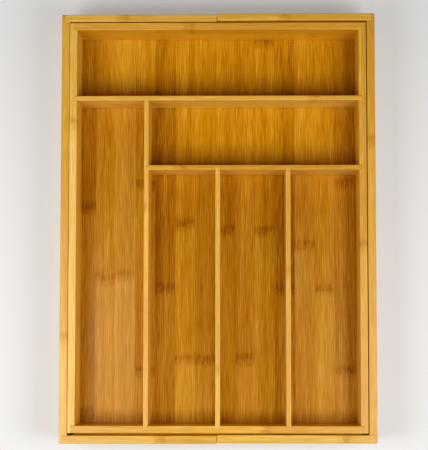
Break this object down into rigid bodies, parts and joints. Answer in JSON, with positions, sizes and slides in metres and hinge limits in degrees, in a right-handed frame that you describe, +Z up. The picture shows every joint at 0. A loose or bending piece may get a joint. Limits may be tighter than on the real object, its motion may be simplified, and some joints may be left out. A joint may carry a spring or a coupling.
{
  "type": "drawer organizer",
  "caption": "Expandable bamboo cutlery tray with dadoed dividers, held between two U-shaped side frames that slide out on tongue rails to fill a drawer's width.",
  "frame": {"origin": "on the drawer bottom, at the middle of the closed organizer", "axes": "+X to the right, +Y from front to back along the longest side, +Z up"},
  "size_m": [0.33, 0.4508, 0.064],
  "materials": {
    "frame_board": "satin lacquer",
    "tray_board": "satin lacquer",
    "divider_board": "satin lacquer",
    "floor_panel": "satin lacquer",
    "rail": "raw",
    "brad": "bright"
  },
  "bodies": {
    "tray": {"tray_left_wall": "tray_board", "tray_right_wall": "tray_board", "tray_front_wall": "tray_board", "tray_back_wall": "tray_board", "tray_floor": "floor_panel", "back_divider": "divider_board", "left_divider": "divider_board", "cross_divider": "divider_board", "front_divider_left": "divider_board", "front_divider_right": "divider_board", "front_slide_rail": "rail", "back_slide_rail": "rail", "tray_brads": "brad"},
    "left_frame": {"left_frame_side": "frame_board", "left_frame_front": "frame_board", "left_frame_back": "frame_board", "left_frame_floor": "floor_panel", "left_stop_strip": "rail", "left_frame_brads": "brad"},
    "right_frame": {"right_frame_side": "frame_board", "right_frame_front": "frame_board", "right_frame_back": "frame_board", "right_frame_floor": "floor_panel", "right_stop_strip": "rail", "right_frame_brads": "brad"}
  },
  "joints": [
    {"name": "left_slide", "type": "slide", "parent": "tray", "child": "left_frame", "axis": [-1, 0, 0], "range_m": [0, 0.11]},
    {"name": "right_slide", "type": "slide", "parent": "tray", "child": "right_frame", "axis": [1, 0, 0], "range_m": [0, 0.11]}
  ]
}
